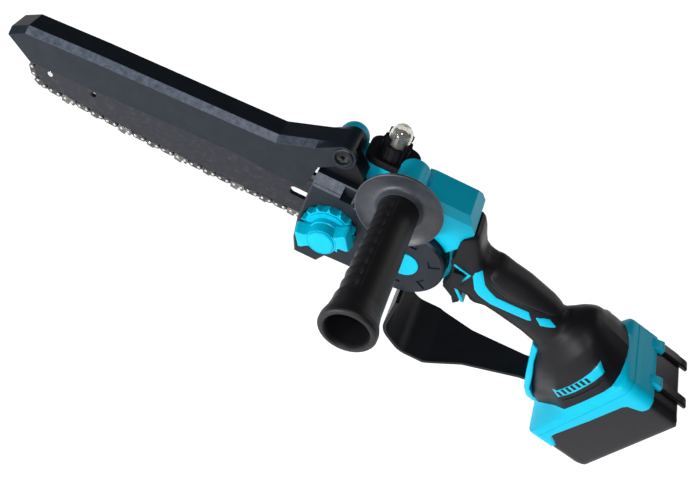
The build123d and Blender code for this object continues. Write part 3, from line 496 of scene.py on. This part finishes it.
# a closed strip on the handle's side between two edges, given as pairs of (back, rise)
def handleStrip(pairs, side, lift, steps=8, across=6, roll=0.45, sink=0.7):
    rows = []
    count = (len(pairs) - 1) * steps
    for r in range(count + 1):
        first = min(len(pairs) - 2, r // steps)
        share = r / steps - first
        near, far = ([a + (b - a) * share for a, b in zip(pairs[first][edge], pairs[first + 1][edge])]
                     for edge in (0, 1))
        end = lift if 0 < r < count else lift - roll
        row = []
        for k in range(across + 1):
            place = [a + (b - a) * k / across for a, b in zip(near, far)]
            row.append(handleSkin(place[0], place[1], side, end if 0 < k < across else lift - roll))
        row += [handleSkin(far[0], far[1], side, lift - sink),
                handleSkin(near[0], near[1], side, lift - sink)]
        rows.append(row)
    return ringSkin(rows)


inlayLook = {
    "long": [((-146.7, 40.5), (-143.8, 45.4)), ((-145.8, 36.6), (-139.3, 41.5)),
             ((-136.2, 26.4), (-133.6, 36.4)),
             ((-130.3, 24), (-128, 34.2)), ((-117.6, 23.2), (-119.6, 32.4)), ((-104, 27.2), (-106, 35.8)),
             ((-88.1, 31.9), (-92.6, 39)), ((-85.8, 33.6), (-86.2, 34.6))],
    "short": [((-84.8, 38.2), (-84.5, 39.2)), ((-77.6, 34.9), (-79.8, 42)), ((-68.4, 40.3), (-75.6, 43.4)),
              ((-67.6, 41), (-68, 41.6))],
    "outline": 1.1, "lift": 0.6, "bedLift": 0.22,
}


# the same strip with both edges moved apart
def widened(pairs, extra):
    grown = []
    for near, far in pairs:
        step = Vector(far) - Vector(near)
        step = step.normalized() * extra if step.length else Vector((0, 0))
        grown.append((tuple(Vector(near) - step), tuple(Vector(far) + step)))
    return grown


def addInlays():
    for which in ("long", "short"):
        for side, tag in ((-1, "Left"), (1, "Right")):
            pairs = inlayLook[which]
            replaced = ("grip_inlays",) if which == "long" and side < 0 else ()
            addPiece(which + "Inlay" + tag, "housing", "tealMoulding", replaced)(
                handleStrip(pairs, side, inlayLook["lift"]), 40)
            addPiece(which + "InlayBed" + tag, "housing", "caseMoulding")(
                handleStrip(widened(pairs, inlayLook["outline"]), side, inlayLook["bedLift"], roll=0.3), 40)


padLook = {
    "edge": [(-139, 48), (-136, 44), (-132, 40.4), (-127, 38.2), (-121, 37), (-114, 36.8), (-102, 39),
             (-90, 42),
             (-80, 44.6), (-72, 46.4), (-66, 48)],
    "lift": 0.9, "sink": 0.5, "thick": 0.6, "leadIn": 8.0, "leadOut": 2.5, "rows": 74, "over": 14,
    "roundness": (17, 21),
}


def addGripPad():
    rows = []
    start, end = padLook["edge"][0][0], padLook["edge"][-1][0]
    for r in range(padLook["rows"] + 1):
        back = start + (end - start) * r / padLook["rows"]
        edge = follow(padLook["edge"], back)
        high = follow(handleLook["high"], back)
        low = follow(handleLook["low"], back)
        ending = between(back, start, start + padLook["leadIn"]) * (
            1 - between(back, end - padLook["leadOut"], end))
        middle, tall = (low + high) / 2, (high - low) / 2
        row = []
        for side in (-1, 1):
            half = []
            for k in range(padLook["over"] + 1):
                share = (edge - middle) / tall
                share += (1 - share) * sin(pi / 2 * k / padLook["over"])
                lift = (padLook["lift"] + padLook["sink"]) * between(k, 0, 2) * ending - padLook["sink"]
                wide = side * handleHalf(back, min(1, share))
                outward = Vector((wide / padLook["roundness"][0], share * tall / padLook["roundness"][1]))
                outward.normalize()
                half.append(gripAt(back, wide + outward.x * lift, middle + share * tall + outward.y * lift))
            row += half if side < 0 else half[::-1][1:]
        rows.append(row)
    addPiece("gripPad", "housing", "gripRubber", ("grip_pad",))(
        closedSheet(rows, Vector((0, 0, -padLook["thick"])) * mm), 50)


ventLook = {
    "band": [((-22.5, -2), (-28.6, -3.4)), ((-21.4, 8), (-27.6, 7.5)), ((-21, 18), (-27.4, 18)),
             ((-21.4, 30), (-28, 31)), ((-22.2, 41), (-29.2, 43)), ((-22.6, 49), (-30.2, 52))],
    "lip": [((-17.2, -1), (-18.6, -2.4)), ((-16.2, 10), (-17.5, 10)), ((-16, 22), (-17.3, 22)),
            ((-16.4, 34), (-17.7, 34)), ((-17.4, 44), (-18.4, 43.4))],
    "slots": 7, "first": 1.2, "pitch": 5.3, "wide": 2.9, "slotFrom": -22.6, "slotTo": -27.2, "highlightFacets": 0.8,
    "bandLift": 0.7, "bedLift": 0.3, "lipLift": 0.9, "slotLift": 0.9,
}


def addVents():
    for side, tag in ((-1, "Left"), (1, "Right")):
        replaced = ("vent_strips",) if side < 0 else ()
        addPiece("ventStrip" + tag, "housing", "tealMoulding", replaced)(
            handleStrip(ventLook["band"], side, ventLook["bandLift"]), 40)
        addPiece("ventBed" + tag, "housing", "caseMoulding")(
            handleStrip(widened(ventLook["band"], 1.0), side, ventLook["bedLift"], roll=0.35), 40)
        addPiece("ventLip" + tag, "housing", "caseMoulding")(
            handleStrip(ventLook["lip"], side, ventLook["lipLift"], across=4, roll=0.7), 50)
        for number in range(ventLook["slots"]):
            rise = ventLook["first"] + number * ventLook["pitch"]
            pairs = [((back, start), (back, start + ventLook["wide"])) for back, start in (
                (ventLook["slotFrom"], rise), (ventLook["slotTo"], rise - ventLook["highlightFacets"]))]
            addPiece("ventSlot" + tag + str(number + 1), "housing", "caseMoulding")(
                handleStrip(pairs, side, ventLook["slotLift"], steps=4, across=4, roll=0.1), 40)


# long and wide are half sizes; edge is where the teal shell ends, by rise
packLook = {
    "long": 57.0, "wide": 37.5, "corner": 9.0, "around": 288,
    "edge": [(-57, 15.5), (-49, 17), (-45.5, 13), (-42, 6), (-36, 5.4), (1, 8.5), (35.5, 10.2), (39.5, 12),
             (41.5, 17), (44, 22), (50, 23), (57, 21)],
    "frontEdge": 15.5, "rearEdge": 20.5, "prongs": [(17.5, 28.5), (-20.5, -9.5)], "prongReach": 4.2,
}


packTurns = [2 * pi * k / packLook["around"] for k in range(packLook["around"])]


# (rise, across) of the rounded outline in a direction, drawn in by inset
def packOutline(angle, inset=0.0):
    long, wide = packLook["long"] - inset, packLook["wide"] - inset
    corner = max(0.6, packLook["corner"] - inset)
    c, s = abs(cos(angle)), abs(sin(angle))
    reach = min(long / max(c, 1e-6), wide / max(s, 1e-6))
    centreX, centreY = long - corner, wide - corner
    if reach * c > centreX and reach * s > centreY:
        along = c * centreX + s * centreY
        reach = along + sqrt(max(0, along * along - centreX * centreX - centreY * centreY + corner * corner))
    return (reach * cos(angle), reach * sin(angle))


# (rise, across) of the foot's base outline in a direction, found by halving
def footOutline(angle):
    c, s = cos(angle), sin(angle)
    low, high = handleLook["low"][-1][1], handleLook["high"][-1][1]
    near, far = 0.0, 80.0
    for _ in range(24):
        middle = (near + far) / 2
        rise, wide = middle * c, middle * abs(s)
        share = (rise - (low + high) / 2) / ((high - low) / 2)
        inside = abs(share) < 1 and wide < handleHalf(-9.3, share)
        near, far = (middle, far) if inside else (near, middle)
    return (near * c, near * s)


def packRing(back, inset=0.0):
    return [gripAt(back, across, rise) for rise, across in (packOutline(turn, inset) for turn in packTurns)]


def addShoe():
    foot = [footOutline(turn) for turn in packTurns]
    rows = [packRing(-0.3, 1.2), packRing(-0.3), packRing(-4.5, 0.0), packRing(-6.4, 0.5)]
    for back, share in ((-7.6, 0.22), (-8.6, 0.55), (-9.4, 0.9), (-10.2, 1.02)):
        ring = []
        for turn, (rise, across) in zip(packTurns, foot):
            outer = packOutline(turn, 0.9)
            ring.append(gripAt(back, outer[1] + (across - outer[1]) * share,
                               outer[0] + (rise - outer[0]) * share))
        rows.append(ring)
    rows.append([gripAt(-4, across * 0.92, rise * 0.92) for rise, across in foot])
    addPiece("batteryShoe", "housing", "tealMoulding", ("foot_skirt",))(
        ringSkin(rows), 34)


# each row is half width, then the outer and the inner edge as (back, rise)
rimLook = [
    (12, (-64, 9), (-57.5, 9)), (14, (-55, -5), (-50, -4)), (15.5, (-45, -20.5), (-40.5, -16.5)),
    (14, (-33, -37.5), (-29.5, -33)), (8, (-20, -51), (-17, -44.5)), (3, (-8, -57), (-6, -50)),
]


def addShoeRim():
    rows = []
    for half, outer, inner in rimLook:
        middle = [(a + b) / 2 for a, b in zip(outer, inner)]
        corners = ((outer, 1.5 - half), (outer, half - 1.5), (middle, half), (inner, half), (inner, -half),
                   (middle, -half))
        rows.append([gripAt(back, across, rise) for (back, rise), across in corners])
    addPiece("shoeFrontRim", "housing", "tealMoulding")(ringSkin(rows), 28, 1.4)


# how far back the teal shell reaches at a point of the outline
def shellEdge(rise, across):
    if abs(across) > packLook["wide"] - 6:
        return follow(packLook["edge"], rise)
    if rise < 0:
        return packLook["frontEdge"]
    extra = max(between(across, low - 1.2, low) * (1 - between(across, high, high + 1.2))
                for low, high in packLook["prongs"])
    return packLook["rearEdge"] + packLook["prongReach"] * extra


def addPackShell():
    spots = [packOutline(turn) for turn in packTurns]
    edges = [shellEdge(rise, across) for rise, across in spots]
    rows = [packRing(0.1, 3), packRing(0.1, 0.8), packRing(0.5, 0.2), packRing(1.0)]
    for share in (0.25, 0.5, 0.75, 0.96):
        rows.append([gripAt(1 + (edge - 1) * share, across, rise)
                     for (rise, across), edge in zip(spots, edges)])
    for drop, inset in ((0.0, 0.25), (0.05, 1.3), (-1.5, 1.6)):
        rows.append([gripAt(edge + drop, across, rise)
                     for turn, edge in zip(packTurns, edges)
                     for rise, across in [packOutline(turn, inset)]])
    rows.append(packRing(2.2, 2.2))
    addPiece("batteryShell", "battery", "tealMoulding", ("battery_top",))(
        ringSkin(rows), 34)


# rows are (back, inset); the two ends of the case are bevelled from these places
caseLook = {
    "rows": [(2.5, 1.0), (20, 0.9), (36, 0.9), (42, 0.9), (45, 0.95), (48, 1.1), (50.2, 1.5), (51.4, 2.5),
             (52, 4.2)],
    "half": 56.1, "lowBevel": 42, "highBevel": 46, "highSlope": 1.15,
}


def addPackCase():
    rows = []
    for back, inset in caseLook["rows"]:
        lowest = max(0, back - caseLook["lowBevel"]) - caseLook["half"]
        highest = caseLook["half"] - max(0, back - caseLook["highBevel"]) * caseLook["highSlope"]
        spots = [packOutline(turn, inset) for turn in packTurns]
        rows.append([gripAt(back, across, min(highest, max(lowest, rise))) for rise, across in spots])
    addPiece("batteryCase", "battery", "caseMoulding", ("battery_case",))(
        ringSkin(rows), 30)


# rows are (back, height, inset of the sides); the rises are foot, shoulder and top of the section
ribLook = {
    "rows": [(17, -1, 2), (18, 2.2, 1), (23, 2.9, 1), (44, 3.0, 1), (50, 2.8, 1), (52.5, 1.6, 1),
             (53.2, -2, 2)],
    "foot": 0.2, "shoulder": 0.0, "top": 1.2, "rises": (55.2, 56, 56.2), "bulge": 0.6,
}
prongLook = {
    "rows": [(13, -0.8, 2.5), (16, 1.6, 1.2), (20, 3.2, 0.6), (24, 3.9, 0.0), (25.4, 3.2, 0.2),
             (25.6, 0.5, 0.6)],
    "foot": -0.8, "shoulder": -0.8, "top": 0.8, "rises": (55, 56.3, 56.6), "bulge": 0.5,
}


def addBar(name, finish, look, low, high):
    footRise, shoulderRise, topRise = look["rises"]
    rows = []
    for back, out, draw in look["rows"]:
        section = ((draw + look["foot"], footRise),
                   (draw + look["shoulder"], shoulderRise + out * look["bulge"]),
                   (draw + look["top"], topRise + out))
        rows.append([gripAt(back, low + inset, rise) for inset, rise in section]
                    + [gripAt(back, high - inset, rise) for inset, rise in reversed(section)])
    addPiece(name, "battery", finish)(ringSkin(rows), 40)


def addPackRibs():
    for number, (low, high) in enumerate(packLook["prongs"]):
        addBar("packRib" + str(number + 1), "caseMoulding", ribLook, low, high)
        addBar("packProng" + str(number + 1), "tealMoulding", prongLook, low, high)


# profiles are (place along the axis, radius); angles turn from forward to up
sideGripLook = {
    "axis": (40.8, 62.0), "root": -35.0, "end": -153.0,
    "bore": [(-35, 5.2), (-60.6, 5.2), (-60.6, 12.2), (-149.5, 13.9), (-152, 14.6), (-153, 15.6)],
    "profile": [(-153, 17.3), (-152.4, 18.5), (-151.2, 19.2), (-147.5, 19.2), (-145.4, 18.6), (-141, 17.3),
                (-134, 16.4), (-120, 16.1), (-95, 15.8), (-70, 15.2), (-50, 15.0), (-40, 15.3), (-36.6, 15.0),
                (-35.2, 13.9), (-35, 12)],
    "ridges": 9, "ridgeFrom": -128.0, "ridgeTo": -42.0, "ridgeDepth": 1.5,
    "panelFrom": 104.0, "panelTo": 256.0, "panelStep": 0.55, "around": 160, "rows": 240,
}


# 1 from low to high, with eased ends inside or outside the stretch
def stretchOf(value, low, high, before, after):
    return between(value, low - before, low + after) * (1 - between(value, high - after, high + before))


def circle(axisX, axisZ, along, wide, around):
    turns = [2 * pi * k / around for k in range(around)]
    return [at(axisX + wide * cos(turn), along, axisZ + wide * sin(turn)) for turn in turns]


def addSideGrip():
    look = sideGripLook
    axisX, axisZ = look["axis"]
    span = look["ridgeTo"] - look["ridgeFrom"]
    rows = []
    for r in range(look["rows"] + 1):
        along = look["end"] + (look["root"] - look["end"]) * r / look["rows"]
        radius = follow(look["profile"], along)
        length = stretchOf(along, look["ridgeFrom"], look["ridgeTo"], 2, 0)
        cycle = ((along - look["ridgeFrom"]) / span * look["ridges"]) % 1
        ridge = between(cycle, 0.0, 0.16) * (1 - between(cycle, 0.16, 1.0))  # steep on one side
        row = []
        for k in range(look["around"]):
            turn = 360 * k / look["around"]
            panel = stretchOf(turn, look["panelFrom"], look["panelTo"], 2.2, 2.2)
            groove = stretchOf(turn, look["panelFrom"], look["panelTo"], -6, 20)
            wide = radius - length * (look["panelStep"] * panel + look["ridgeDepth"] * groove * ridge)
            row.append(at(axisX + wide * cos(radians(turn)), along, axisZ + wide * sin(radians(turn))))
        rows.append(row)
    rows += [circle(axisX, axisZ, along, wide, look["around"]) for along, wide in look["bore"]]
    rows.append(rows[0])
    addPiece("sideGrip", "side_handle", "gripRubber", ("aux_grip",))(
        ringSkin(rows, capped=False), 42)


# a closed turned surface about an axis across the saw
def turned(profile, axisX, axisZ, around=128):
    rows = [circle(axisX, axisZ, along, wide, around) for along, wide in profile]
    rows.append(rows[0])
    return ringSkin(rows, capped=False)


shieldLook = {
    "profile": [(-31.6, 5.2), (-31.6, 20), (-32.2, 24), (-34.2, 29), (-36.0, 31.6), (-37.2, 32.2),
                (-38.2, 32.1), (-38.5, 31.3), (-37.6, 30.2), (-35.9, 27), (-34.9, 23), (-34.5, 20.5),
                (-34.9, 18.4),
                (-36.2, 17.0), (-38.0, 16.2), (-39.0, 15.5), (-38.6, 14.6), (-34.6, 14.2), (-34.6, 5.2)],
}


def addShield():
    axisX, axisZ = sideGripLook["axis"]
    addPiece("handShield", "side_handle", "shieldMoulding", ("hand_shield",))(
        turned(shieldLook["profile"], axisX, axisZ), 50)


# wing is (place along the bar, half width); layers are (y, extra half width, shortening)
knobLook = {
    "turn": 27.0, "reach": 21.4, "around": 96,
    "wing": [(-21.4, 7.0), (-19.4, 7.6), (-14, 5.8), (-9, 6.2), (9, 6.2), (14, 5.8), (19.4, 7.6),
             (21.4, 7.0)],
    "layers": [(-28.6, 2.6, 0.0), (-30.0, 2.3, 0.0), (-37.6, 0.2, 0.6), (-38.6, -0.3, 1.0),
               (-39.0, -1.2, 1.8)],
    "hub": [(-26.95, 4.2), (-26.95, 13.2), (-30.6, 13.2), (-31.4, 12.4), (-38.6, 11.9), (-39.3, 11.7),
            (-39.3, 11.2), (-38.5, 11.0), (-38.5, 10.5), (-39.7, 10.2), (-40.5, 9.2), (-40.6, 4),
            (-40.6, 0.02),
            (-36.7, 0.02), (-36.7, 4.2)],
}


def addKnob():
    turn = radians(knobLook["turn"])

    def spot(along, across, y):
        return at(along * cos(turn) - across * sin(turn), y, along * sin(turn) + across * cos(turn))

    rows = []
    for y, grow, short in knobLook["layers"]:
        upper = [(along * (1 - short / knobLook["reach"]), half + grow) for along, half in knobLook["wing"]]
        lower = [(along, -half) for along, half in reversed(upper)]
        rows.append([spot(along, half, y) for along, half in upper + lower])
    addPiece("knobWings", "knob", "tealMoulding")(ringSkin(rows), 30, 0.5)
    addPiece("knobHub", "knob", "tealMoulding", ("tension_knob",))(
        turned(knobLook["hub"], 0, 0, knobLook["around"]), 30)


# a hollow bulb over a dark pump, as (height, radius) about an upright axis
primerLook = {
    "x": 20, "y": 24, "around": 72, "pumpAround": 64,
    "bulb": [(63.6, 8.5), (75.5, 8.6), (78.8, 7.95), (81.6, 6.1), (83.4, 3.3), (84.1, 0.02), (82.9, 0.02),
             (82.3, 3.0), (80.7, 5.4), (78.3, 6.9), (75.4, 7.5), (63.6, 7.4)],
    "pump": [(64, 0.02), (64, 6.9), (73, 6.9), (75.2, 6.2), (76.8, 4.2), (77.4, 0.02)],
}


def turnedUpright(profile, around):
    turns = [2 * pi * k / around for k in range(around)]
    rows = [[at(primerLook["x"] + wide * cos(turn), primerLook["y"] + wide * sin(turn), height)
             for turn in turns] for height, wide in profile]
    rows.append(rows[0])
    return ringSkin(rows, capped=False)


def addPrimer():
    addPiece("primerBulb", "primer", "clearBulb", ("primer_bulb",))(
        turnedUpright(primerLook["bulb"], primerLook["around"]), 50)
    addPiece("primerPump", "primer", "caseMoulding")(
        turnedUpright(primerLook["pump"], primerLook["pumpAround"]), 40)


# a raised lip round each guard screw
lipLook = {
    "axis": (-11, 62.5), "around": 72,
    "profile": [(13.2, 5.6), (14.3, 5.8), (14.6, 6.4), (14.5, 7.2), (14.0, 8.0), (13.2, 8.4)],
}


def addPivotLips():
    for side, tag in ((-1, "Left"), (1, "Right")):
        lip = [(side * along, wide) for along, wide in lipLook["profile"]]
        addPiece("pivotLip" + tag, "guard", "guardMoulding")(
            turned(lip, *lipLook["axis"], lipLook["around"]), 40)


# teal strips above and behind the lock button
lockLook = {"top": [((-163, 34.4), (-163, 36.4)), ((-147, 34.4), (-147, 36.4))],
            "rear": [((-149, 35), (-146.9, 35)), ((-151, 13.5), (-148.4, 13.5))], "lift": 0.8}


def addLockTrim():
    for side, tag in ((-1, "Left"), (1, "Right")):
        for edge in ("top", "rear"):
            addPiece("lockTrim" + edge.title() + tag, "housing", "tealMoulding")(
                handleStrip(lockLook[edge], side, lockLook["lift"]), 40)


addHandle()
addLockTrim()
addInlays()
addGripPad()
addVents()
print("rear handle")
addShoe()
addShoeRim()
addPackShell()
addPackCase()
addPackRibs()
print("battery")
addSideGrip()
addShield()
addKnob()
addPrimer()
addPivotLips()
print("side handle, knob, primer and guard lips")
